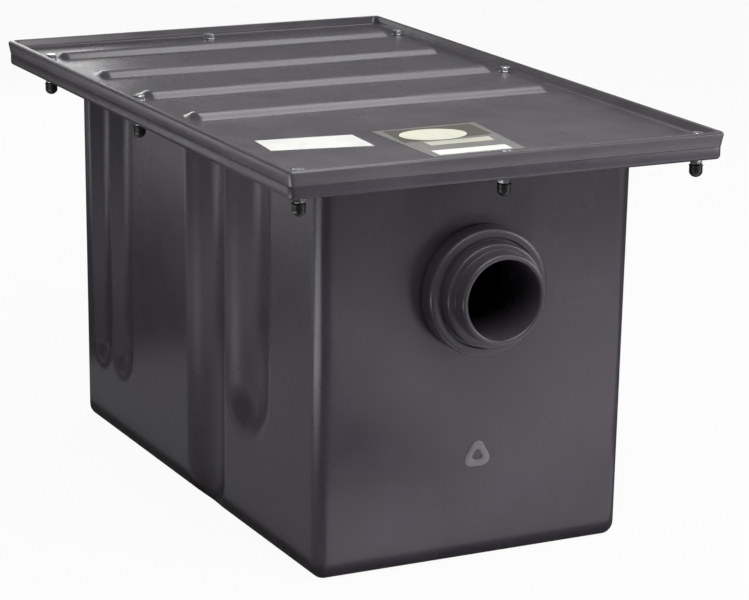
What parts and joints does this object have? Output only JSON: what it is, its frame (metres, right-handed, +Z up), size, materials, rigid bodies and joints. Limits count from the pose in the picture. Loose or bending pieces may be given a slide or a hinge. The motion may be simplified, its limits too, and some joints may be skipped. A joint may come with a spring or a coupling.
{
  "type": "grease trap",
  "caption": "Box-shaped polyethylene grease trap with fluted side walls, a bolted tray lid with cross ribs, a pipe fitting on each end wall and lift-out baffles inside.",
  "frame": {"origin": "Middle of the base on the floor, midway between the ends and between the sides.", "axes": "+X along the length towards the inlet end, +Y to the left when looking from the outlet end to the inlet end, +Z up."},
  "size_m": [0.7088, 0.44, 0.402],
  "materials": {
    "tank_poly": "satin, fine moulded grain",
    "lid_poly": "satin, fine moulded grain",
    "fitting_plastic": "smooth moulded",
    "baffle_poly": "satin sheet",
    "seal_rubber": "matt",
    "cap_plastic": "smooth moulded",
    "fastener_steel": "bright stainless"
  },
  "bodies": {
    "tank": {"tank": "tank_poly", "lid_gasket": "seal_rubber", "nut_washers": "fastener_steel", "lid_nuts": "fastener_steel", "nut_caps": "cap_plastic", "inlet_fitting": "fitting_plastic", "inlet_gasket": "seal_rubber", "inlet_locknut": "fitting_plastic", "outlet_fitting": "fitting_plastic", "outlet_gasket": "seal_rubber", "outlet_locknut": "fitting_plastic", "inlet_baffle": "baffle_poly", "outlet_baffle": "baffle_poly"},
    "lid": {"lid": "lid_poly", "lid_screws": "fastener_steel", "screw_washers": "fastener_steel"}
  },
  "joints": [
    {"name": "lid_lift", "type": "slide", "parent": "tank", "child": "lid", "axis": [0, 0, 1], "range_m": [0, 0.2]}
  ]
}
